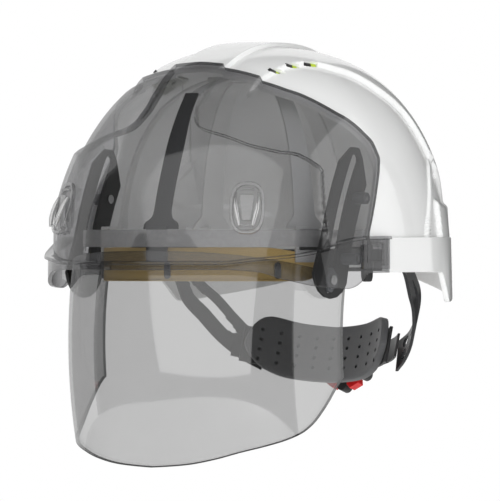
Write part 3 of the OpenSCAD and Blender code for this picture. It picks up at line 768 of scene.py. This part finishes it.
def clip_tongue():
    """Flat tongue in the middle of a clip."""
    outline = rounded(np.array([(-4.6, 8.0), (4.6, 8.0), (3.0, -8.6), (-3.0, -8.6)]), 1.6, 4)
    return sweep(np.stack([stack(outline[:, 0] * k, np.full(len(outline), y), outline[:, 1] * k)
                           for y, k in ((-1.4, 0.92), (-1.7, 1.0), (-2.7, 1.0), (-3.0, 0.92))]))


def clip_highlight_streak(s):
    """Streak of painted highlight down one side of a clip, a milky, strongly mirroring strip, thinner at its
    ends.
    """
    n = 30
    path = smooth_path([(s * x, y, z) for x, y, z in HIGHLIGHT_STREAK], n)
    width = 1.5 * np.sqrt(np.sin(np.linspace(0.12, np.pi - 0.35, n)))
    points, faces, _ = rod(path, 1.0)
    points = (points.reshape(n, -1, 3) - path[:, None]) * width[:, None, None] + path[:, None]
    return points.reshape(-1, 3), faces, np.ones(len(faces), int)


def clip_parts():
    """Oval frame, wire loop, tongue, cross bar and two streaks of painted highlight of one clip, about its
    middle.
    """
    oval_frame = ring_part(oval(10.6, 16.3), oval(8.6, 14.3), -1.0, 1.6)
    path = [(-x, y, z) for x, y, z in HALF_LOOP] + [(0, -3.9, -12)] + HALF_LOOP[::-1]
    loop = rod(smooth_path(path, 60), 0.7)
    bar = rod([(-4.2, -0.8, 11.6), (0, -1.1, 11.8), (4.2, -0.8, 11.6)], 0.8)
    return [oval_frame, loop, clip_tongue(), bar, clip_highlight_streak(-1), clip_highlight_streak(1)]


# ---- harness ----
def cradle_point(p, t, o):
    """Point of the cradle's dome grown by o: p is the angle from the front, t the climb to the crown."""
    c, s = np.abs(cos(t)) ** (2 / 2.6), np.abs(sin(t)) ** (2 / 2.6)
    return stack((CRADLE_W + o) * c * sin(p), CRADLE_Y - (CRADLE_L + o) * c * cos(p), (CRADLE_H + o) * s)


def strap(path, across, out, half, thick):
    """Flat strap along a path: across and out are its directions, half its half width."""
    half = np.broadcast_to(half, len(path))
    corners = ((-1, 0), (1, 0), (1, -thick), (-1, -thick))
    flat = np.stack([stack(k * half, np.full(len(path), d)) for k, d in corners], -2)
    flat = rounded(flat, 0.5, 3)
    return sweep(path[:, None] + across[:, None] * flat[..., :1] + out[:, None] * flat[..., 1:])


def unit(d):
    """Directions brought to length 1."""
    return d / np.linalg.norm(d, axis=-1, keepdims=True)


# Front strap from its foot to where it turns light: height to y, and height to half width.
FRONT_STRAP = [[31, -92.6], [46, -89.5], [80, -78], [100, -69.2], [113.6, -60.5]]
FRONT_HALF = [[31, 13], [34.5, 12.4], [38, 7.6], [43, 6.2], [80, 6.2], [105, 4.9], [113.6, 4.7]]
FRONT_TAIL = [(0, -57.5, 112.8), (0, -50, 116.2), (0, -40, 119.4), (0, -27.5, 122.6)]
REAR_STRAP = 180
LIGHT_STRAPS = (62, 122, REAR_STRAP, 238, 298)
TAB_LOW, TAB_TOP = 11, 33


def cradle():
    """Crown straps: the front one dark up to its tail, and the rest light."""
    z = np.linspace(FRONT_STRAP[0][0], FRONT_STRAP[-1][0], 60)
    dark = [straight_strap(stack(0 * z, curve(z, FRONT_STRAP), z), curve(z, FRONT_HALF), 1.8)]
    light = [straight_strap(smooth_path(FRONT_TAIL, 20), 4.2, 1.4)]
    for p in LIGHT_STRAPS:
        light.append(arched_strap(float(p)))
        if p != REAR_STRAP:
            light += [link(p), band_tab(p, 4.6, 12)]
    dark.append(band_tab(0, 4.4, 14))
    light.append(crown_ring(27, 14, 122.6, 125.0))
    front = build("cradle_front_strap", dark, [HARNESS])
    rest = build("cradle_straps", light, [STRAPS])
    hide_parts("cradle")


def straight_strap(path, half, thick):
    """Strap along a path in the middle plane."""
    across, along = np.tile([1.0, 0, 0], (len(path), 1)), unit(np.gradient(path, axis=0))
    return strap(path, across, unit(np.cross(along, across)), half, thick)


def arched_strap(p):
    """Strap that climbs the cradle's dome at angle p, wider at its foot."""
    t = np.linspace(CRADLE_FOOT, CRADLE_TOP, 60)
    path = cradle_point(p, t, 0)
    across = unit(cradle_point(p + 1.0, t, 0) - cradle_point(p - 1.0, t, 0))
    along = unit(np.gradient(path, axis=0))
    out = unit(np.cross(across, along))
    out *= np.sign(np.sum(out * path, -1, keepdims=True))
    f = (t - CRADLE_FOOT) / (CRADLE_TOP - CRADLE_FOOT)
    return strap(path, across, out, 7.4 - 3 * f + 5.6 * (1 - soft(0, 0.055, f)), 1.8)


def link(p):
    """Level strap from the cradle's foot to the tab on the headband."""
    a, b = cradle_point(float(p), CRADLE_FOOT, -1.0)[:2], np.array(head(p, 6.0))
    line = np.column_stack([np.linspace(a, b, 8), np.full(8, float(TAB_TOP))])
    way = unit(b - a)
    return strap(line, np.tile([-way[1], way[0], 0], (8, 1)), np.tile([0.0, 0, 1], (8, 1)), 6, 1.4)


def band_tab(p, offset, n):
    """Upright tab just outside the headband, 10 degrees of it long."""
    section = [(offset, TAB_LOW), (offset + 1.6, TAB_LOW), (offset + 1.6, TAB_TOP), (offset, TAB_TOP)]
    return wall(np.linspace(p - 5, p + 5, n), head, section, 0.5)


def crown_ring(outer, inner, low, top):
    """Flat ring under the crown with rounded edges."""
    t = np.linspace(0, 360, 72, endpoint=False)
    section = rounded(np.array([(inner, low), (outer, low), (outer, top), (inner, top)], float), 0.6, 3)
    r, t = section[:, 0], t[:, None]
    return closed_ring(stack(r * sin(t), CRADLE_Y + 1.08 * r * cos(t), section[:, 1] + 0 * t))


# Slots of the headband, as (angle, height, half angle, half height).
LUG_SLOT = (6, 24.5, 2.2, 1.2)
SIDE_SLOT = (92, 10, 12, 2.2)


def in_slot(p, z, slot):
    """Whether places on the headband lie in a slot."""
    angle, height, half_angle, half_height = slot
    return (np.abs(p - angle) < half_angle) & (np.abs(z - height) < half_height)


def headband():
    """Front band with its brow lug, the lug's slot and a slot on each side."""
    p = np.linspace(-112, 112, 450)[:, None]
    f = np.linspace(0, 1, 30)
    top = curve(np.abs(p), [[0, 29], [10, 29], [13.5, 27.4], [18, 19.6], [24, 19], [140, 19]])
    low = 1 + 4.6 * soft(56, 74, np.abs(p))
    z = low + (top - low) * f

    def side(o):
        x, y = head(p, o)
        return stack(x + 0 * f, y + 0 * f, z)
    mid_p, mid_z = (p[1:] + p[:-1]) / 2, (z[1:, 1:] + z[:-1, :-1]) / 2
    slots = in_slot(mid_p, mid_z, LUG_SLOT) | in_slot(np.abs(mid_p), mid_z, SIDE_SLOT)
    piece = build("head_band", [plate(side(2.2), side(0.4), slots)], [HARNESS])
    bevel(piece, 0.4)
    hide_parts("headband")


# Edges of an arm, from the headband to the nape.
ARM_LOW = [[85.5, 20, 9], [88.5, 36, 6], [87.5, 47, -13], [82, 58, -26], [74, 67, -39], [63, 75.5, -50],
           [52, 82.5, -57]]
ARM_TOP = [[84, 28, 18], [84, 46, 14], [82, 61, 0], [76, 73, -11], [69, 80, -22], [60, 85.5, -32],
           [49, 90, -38]]


def arm(side_name, s):
    """Arm from the headband to the nape, with one long slot and two oval holes behind it.

    The slot and the holes are placed by shares: t along the arm, f from its lower edge to its upper one.
    """
    t, f = np.linspace(0, 1, 130), np.linspace(0, 1, 28)
    low, top = smooth_path(ARM_LOW, len(t)), smooth_path(ARM_TOP, len(t))
    grid = low[:, None] + (top - low)[:, None] * f[:, None]
    out = unit(grid * (1.0, 0.9, 0.0))
    mid_t, mid_f = ((t[1:] + t[:-1]) / 2)[:, None], (f[1:] + f[:-1]) / 2
    slot_t, slot_f, slot_length, slot_width = 0.51, 0.56, 0.24, 0.13
    hole_t, hole_length, hole_width = 0.86, 0.045, 0.15
    slot_half = slot_width * np.clip(1 - np.abs((mid_t - slot_t) / slot_length) ** 4, 0, 1)
    hole = np.abs(mid_f - slot_f) < slot_half
    for hole_f in (0.72, 0.28):
        hole |= ((mid_t - hole_t) / hole_length) ** 2 + ((mid_f - hole_f) / hole_width) ** 2 < 1
    outer, inner = grid + out, grid - out
    mirror = np.array([s, 1, 1])
    piece = build(f"band_arm_{side_name}", [plate(outer * mirror, inner * mirror, hole)], [HARNESS_ARM])
    bevel(piece, 0.45)
    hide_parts(f"headband_arm_{side_name}")


def inflate(piece, pinned, pressure, most):
    """Swells a soft piece by cloth, by most millimetres at most, holding the points that pinned picks."""
    start = np.array([v.co for v in piece.data.vertices])
    group = piece.vertex_groups.new(name="sewn")
    group.add([int(i) for i in np.flatnonzero(pinned(start / MM))], 1.0, "REPLACE")
    cloth = piece.modifiers.new("cloth", "CLOTH")
    cloth.settings.use_pressure = True
    cloth.settings.uniform_pressure_force = pressure
    cloth.settings.effector_weights.gravity = 0
    cloth.settings.vertex_group_mass = "sewn"
    cloth.settings.quality = 5
    cloth.settings.tension_stiffness = 40
    cloth.settings.bending_stiffness = 2
    cloth.collision_settings.use_collision = False
    frames = 20
    cloth.point_cache.frame_start, cloth.point_cache.frame_end = 1, frames
    for number in range(1, frames + 1):
        bpy.context.scene.frame_set(number)
    evaluated = piece.evaluated_get(bpy.context.evaluated_depsgraph_get())
    swollen = np.array([v.co for v in evaluated.to_mesh().vertices])
    evaluated.to_mesh_clear()
    piece.modifiers.clear()
    bpy.context.scene.frame_set(1)
    move = swollen - start
    length = np.linalg.norm(move, axis=1, keepdims=True)
    move *= np.minimum(1, most * MM / np.maximum(length, 1e-9))
    piece.data.vertices.foreach_set("co", (start + move).astype(np.float32).ravel())
    piece.data.update()
    smooth = piece.modifiers.new("soft", "SUBSURF")
    smooth.levels = smooth.render_levels = 1


def sewn_edges(q):
    """Whether points of the sweatband's pad lie along its sewn edges."""
    return (q[:, 2] < 0.6) | (q[:, 2] > 19.2) | (q[:, 1] > -36)


def sweatband():
    """Felt pad inside the headband, and its cover folded under the band and up its front."""
    p = np.linspace(-69, 69, 150)
    near = np.abs(p)
    top = curve(near, [[0, 20.3], [44, 20.3], [58, 17.6], [64, 14.5], [69, 9.5]])
    low = -0.3 + 3.2 * soft(60, 69, near)
    span = np.linspace(0, 1, 14)
    edge = np.minimum(1, 8 * span * (1 - span) + 0.35)

    def side(o, depth):
        x, y = head(p[:, None], o + depth * edge)
        return stack(x, y, low[:, None] + (top - low)[:, None] * span)
    pad = build("sweatband_pad", [plate(side(0.1, 0.1), side(-1.5, -1.6))], [TAN], sharp=80)
    turned = wall(p, head, [(-1.7, low - 0.2), (4.1, low - 0.2), (4.1, low + 1.6), (2.4, low + 1.6),
                            (2.4, low + 0.9), (-1.7, low + 0.9)], 0.3, 2)
    front = wall(p, head, [(2.5, low), (4.1, low), (4.1, top - 0.3), (2.5, top - 0.3)], 0.6)
    fold = build("sweatband_fold", [turned, front], [TAN], sharp=50)
    inflate(pad, sewn_edges, pressure=4.0, most=1.1)
    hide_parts("sweatband")


# Pits of the nape cushion: columns on each side of the middle one, and rows.
PIT_COLUMNS, PIT_ROWS = 4, 4
# Degrees between columns, the lowest row's height, the rise from row to row, and the end columns' lift.
PIT_TURN, PIT_LOW, PIT_RISE, PIT_ARCH = 9.6, -10.2, 6.4, 1.5
PIT_R, PIT_RIM, PIT_DEPTH = 0.85, 1.2, 3.0


def nape_pits(a, z):
    """Share of a pit's depth on the nape cushion, at angle a and height z; the rows arch up at the ends."""
    share = np.zeros_like(z)
    for column in range(-PIT_COLUMNS, PIT_COLUMNS + 1):
        for row in range(PIT_ROWS):
            pit_a = column * PIT_TURN
            pit_z = PIT_LOW + row * PIT_RISE + PIT_ARCH * (abs(column) / PIT_COLUMNS) ** 2
            gap = np.hypot((a - pit_a) * NAPE_R * PER_DEGREE, z - pit_z)
            share = np.maximum(share, 1 - soft(PIT_R, PIT_RIM, gap))
    return share


def nape_pad():
    """Foam cushion round the nape, with rows of small pits."""
    end = 46
    a = np.linspace(-end, end, 260)[:, None]
    near = np.abs(a)
    low = curve(near, [[0, -18.5], [22, -17.5], [34, -14], [41, -8.5], [44.6, -3.5], [46, 0]])
    top = curve(near, [[0, 17], [20, 18.2], [34, 20], [38, 18.8], [41.5, 15.5], [44.2, 10], [46, 2]])
    f = np.linspace(0, 1, 110)
    z = low + (top - low) * f
    rim = np.minimum(np.minimum(z - low, top - z), (end - near) * NAPE_R * PER_DEGREE)
    crown = 3.4 + 1.2 * np.sqrt(np.clip(1 - (1 - np.clip(rim / 3.2, 0, 1)) ** 2, 0, 1))
    dimple = nape_pits(a, z)
    depth = crown - PIT_DEPTH * dimple

    def side(r):
        return at_nape(stack(r * sin(a), -NAPE_R + r * cos(a), z))
    pits = dimple[1:, 1:] > 0.1
    piece = build("nape_cushion", [plate(side(NAPE_R - depth), side(NAPE_R - 0.15), marked=pits)],
                  [FOAM, FOAM, BLACK], sharp=70)
    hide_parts("nape_pad")


# ---- CAD pieces that keep their shape ----
def keep(material, round_mm, *names):
    """Gives CAD nodes their finish, joins their faces and rounds their edges."""
    for name in names:
        node = frame["nodes"][name]
        for held in node.material_slots:
            held.link = "OBJECT"
            held.material = material
        weld = node.modifiers.new("weld", "WELD")
        weld.merge_threshold = 1e-5
        bevel(node, round_mm, 40)


keep(PALE, 0.3, "vent_inserts")
keep(BLACK, 0.5, "harness_keys")
keep(BLACK, 0.3, "guide_plate_left", "guide_plate_right", "nape_band", "ratchet_housing", "ratchet_cover")
keep(BLACK, 0.12, "rack_left", "rack_right")
keep(GREY, 0.2, "guide_spacers", "shield_slider_left", "shield_slider_right", "pinion", "sweatband_studs")
keep(STEEL, 0.25, "guide_screws", "slider_rivets", "knob_screw")
keep(FROST, 0.3, "brow_bar")
keep(RED, 0.6, "ratchet_knob")
keep(RUBBER, 0.7, "knob_grips")
shell()
gutter()
vent_trays()
cap()
brim()
for side_name, sign in SIDES:
    cap_hook(side_name, sign)
shield()
lamp_clips()
cradle()
headband()
for side_name, sign in SIDES:
    arm(side_name, sign)
sweatband()
nape_pad()


# ---- stage, light and camera ----
def area_light(name, azimuth, elevation, distance, size, strength, card=False):
    """Soft box aimed at the origin, or a card that only gloss mirrors.

    Azimuth 0 is in front of the hat and 90 on the wearer's left; distance and size are in metres.
    """
    data = bpy.data.lights.new(name, "AREA")
    data.shape = "RECTANGLE"
    data.size, data.size_y = size
    data.energy = strength * size[0] * size[1] * math.pi
    lamp = bpy.data.objects.new(name, data)
    bpy.context.scene.collection.objects.link(lamp)
    out = Vector((sin(azimuth) * cos(elevation), -cos(azimuth) * cos(elevation), sin(elevation)))
    lamp.location = out * distance
    lamp.rotation_mode = "QUATERNION"
    lamp.rotation_quaternion = out.to_track_quat("Z", "Y")
    lamp.visible_camera = False
    lamp.visible_diffuse = not card
    lamp.visible_glossy = card


def backdrop(tree, strength):
    """White background of a strength."""
    background = tree.nodes.new("ShaderNodeBackground")
    background.inputs["Color"].default_value = grey(1)
    background.inputs["Strength"].default_value = strength
    return background.outputs[0]


def world(shown, fill, mirrored):
    """White behind the hat, a dimmer even light on it, and almost nothing for its gloss to mirror."""
    w = bpy.data.worlds.new("studio")
    w.use_nodes = True
    tree = w.node_tree
    tree.nodes.clear()
    out = tree.nodes.new("ShaderNodeOutputWorld")
    path = tree.nodes.new("ShaderNodeLightPath")
    shader = backdrop(tree, fill)
    for ray, value in (("Is Glossy Ray", mirrored), ("Is Camera Ray", shown)):
        mix = tree.nodes.new("ShaderNodeMixShader")
        tree.links.new(path.outputs[ray], mix.inputs[0])
        tree.links.new(shader, mix.inputs[1])
        tree.links.new(backdrop(tree, value), mix.inputs[2])
        shader = mix.outputs[0]
    tree.links.new(shader, out.inputs["Surface"])
    bpy.context.scene.world = w


def floor(drop, radius):
    """Round pale floor under the hat."""
    m = Paint("floor")
    tone = m.mix_colour(m.noise(180, 2), grey(0.82), grey(0.86))
    shader = m.node("ShaderNodeBsdfPrincipled", Base_Color=tone, Roughness=0.7)
    mesh = bpy.data.meshes.new("floor")
    t = np.linspace(0, 360, 96, endpoint=False)
    rim = stack(radius * cos(t), radius * sin(t), np.full(len(t), -drop))
    mesh.from_pydata(rim.tolist(), [], [list(range(len(t)))])
    mesh.materials.append(m.finish(shader.outputs[0]))
    disc = bpy.data.objects.new("floor", mesh)
    bpy.context.scene.collection.objects.link(disc)


def camera():
    """Level view from the hat's front left, from far away."""
    azimuth, away = 36.0, 5.5
    side, height = -0.00062, 0.0182
    data = bpy.data.cameras.new("camera")
    data.lens, data.sensor_width = 640.2, 36.0
    cam = bpy.data.objects.new("camera", data)
    bpy.context.scene.collection.objects.link(cam)
    back = Vector((sin(azimuth), -cos(azimuth), 0.0))
    aim = Vector((cos(azimuth) * side, sin(azimuth) * side, height))
    cam.location = aim + back * away
    cam.rotation_mode = "QUATERNION"
    cam.rotation_quaternion = back.to_track_quat("Z", "Y")
    bpy.context.scene.camera = cam


camera()
world(shown=1.0, fill=0.22, mirrored=0.06)
floor(drop=0.26, radius=0.9)
# Name, azimuth, elevation, distance, size and strength.
area_light("key", 56, 6, 1.8, (1.3, 1.5), 3.9)
area_light("fill", 30, -4, 2.6, (1.3, 1.3), 2.6)
area_light("top", 0, 66, 1.8, (1.5, 1.5), 1.4)
area_light("left", -60, 10, 2.0, (1.2, 1.8), 0.6)
area_light("below", 0, -89, 0.24, (0.34, 0.34), 0.7)
area_light("back", 215, 28, 2.0, (1.5, 1.5), 1.8)
area_light("card_left", 119, 8, 1.6, (1.5, 2.6), 0.9, card=True)
area_light("card_front", 8, 24, 2.4, (4.4, 3.2), 0.75, card=True)
area_light("card_right", -110, 8, 1.6, (3.2, 2.6), 0.9, card=True)

scene = bpy.context.scene
scene.view_settings.view_transform = "Standard"
scene.cycles.transparent_max_bounces = 32
